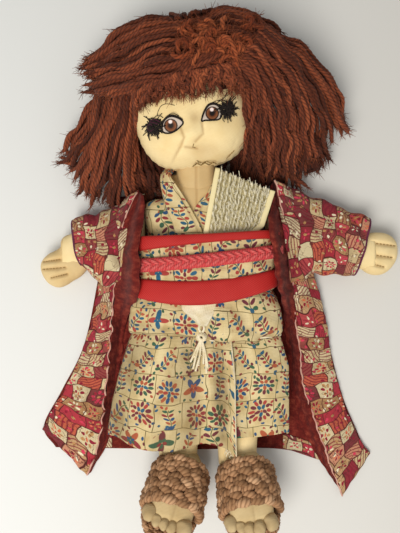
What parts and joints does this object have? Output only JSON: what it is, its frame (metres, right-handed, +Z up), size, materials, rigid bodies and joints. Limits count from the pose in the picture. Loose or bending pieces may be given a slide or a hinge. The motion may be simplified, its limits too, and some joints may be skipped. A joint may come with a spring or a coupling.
{
  "type": "rag doll",
  "caption": "Stuffed cloth doll with yarn hair, in a printed kimono with an obi, an open haori, crochet sandals and a tucked fan, lying on its back.",
  "frame": {"origin": "on the flat underside of the haori's back, below the middle of the torso", "axes": "+Z up, out of the doll's front; +Y from the seat to the head; +X to the doll's own left"},
  "size_m": [0.2998, 0.4182, 0.092],
  "materials": {
    "calico_skin": "plain-weave cream calico",
    "tanned_calico": "plain-weave calico, toned darker",
    "auburn_yarn": "thick plied wool yarn",
    "eye_paint": "painted, with a soft shine",
    "black_thread": "cotton thread",
    "kimono_cotton": "printed cotton",
    "haori_cotton": "printed cotton",
    "cream_cotton": "plain cotton",
    "red_ribbon": "ribbed ribbon",
    "pink_knit": "knitted yarn cord",
    "tan_crochet": "crochet yarn",
    "cream_paper": "pleated paper on cloth",
    "pale_bamboo": "smooth split bamboo"
  },
  "bodies": {
    "torso": {"torso": "calico_skin", "kimono_bodice": "kimono_cotton", "kimono_lapel_left": "kimono_cotton", "kimono_lapel_right": "kimono_cotton", "kimono_overfold": "kimono_cotton", "kimono_tuck": "cream_cotton", "obi_sash": "kimono_cotton", "obi_ribbon_upper": "red_ribbon", "obi_ribbon_lower": "red_ribbon", "obi_cord": "pink_knit", "waist_tie": "cream_cotton", "waist_knot": "cream_cotton", "haori_back": "haori_cotton", "haori_front_left": "haori_cotton", "haori_front_right": "haori_cotton"},
    "head": {"head": "calico_skin", "neck": "calico_skin", "hair_crown": "auburn_yarn", "hair_fringe": "auburn_yarn", "hair_back": "auburn_yarn", "hair_side_left": "auburn_yarn", "hair_side_right": "auburn_yarn", "eye_left": "eye_paint", "eye_right": "eye_paint", "lash_left": "black_thread", "lash_right": "black_thread"},
    "arm_left": {"arm_left": "calico_skin", "haori_sleeve_left": "haori_cotton"},
    "arm_right": {"arm_right": "calico_skin", "haori_sleeve_right": "haori_cotton"},
    "leg_left": {"leg_left": "calico_skin", "foot_left": "tanned_calico", "kimono_skirt": "kimono_cotton", "waist_tassel": "cream_cotton"},
    "leg_right": {"leg_right": "calico_skin", "foot_right": "tanned_calico"},
    "sandal_left": {"sandal_sole_left": "tan_crochet", "sandal_strap_left": "tan_crochet"},
    "sandal_right": {"sandal_sole_right": "tan_crochet", "sandal_strap_right": "tan_crochet"},
    "fan": {"fan_leaf": "cream_paper", "fan_guard_left": "pale_bamboo", "fan_guard_right": "pale_bamboo"}
  },
  "joints": [
    {"name": "neck_nod", "type": "hinge", "parent": "torso", "child": "head", "pos_m": [-0.007, 0.057, 0.04], "axis": [1, 0, 0], "range_deg": [0, 25]},
    {"name": "shoulder_left", "type": "hinge", "parent": "torso", "child": "arm_left", "pos_m": [0.054, 0.0335, 0.028], "axis": [0, -1, 0], "range_deg": [0, 80]},
    {"name": "shoulder_right", "type": "hinge", "parent": "torso", "child": "arm_right", "pos_m": [-0.054, 0.032, 0.028], "axis": [0, 1, 0], "range_deg": [0, 80]},
    {"name": "hip_left", "type": "hinge", "parent": "torso", "child": "leg_left", "pos_m": [0.025, -0.06, 0.034], "axis": [-1, 0, 0], "range_deg": [0, 90]},
    {"name": "hip_right", "type": "hinge", "parent": "torso", "child": "leg_right", "pos_m": [-0.024, -0.06, 0.034], "axis": [-1, 0, 0], "range_deg": [0, 90]},
    {"name": "sandal_left_slide", "type": "slide", "parent": "leg_left", "child": "sandal_left", "axis": [0.0984, -0.7002, 0.7071], "range_m": [0, 0.07]},
    {"name": "sandal_right_slide", "type": "slide", "parent": "leg_right", "child": "sandal_right", "axis": [-0.2067, -0.6762, 0.7071], "range_m": [0, 0.07]},
    {"name": "fan_slide", "type": "slide", "parent": "torso", "child": "fan", "axis": [0.1852, 0.9812, 0.0544], "range_m": [-0.012, 0]}
  ],
  "couplings": [
    {"joint": "hip_right", "follows": "hip_left", "ratio": 1}
  ]
}
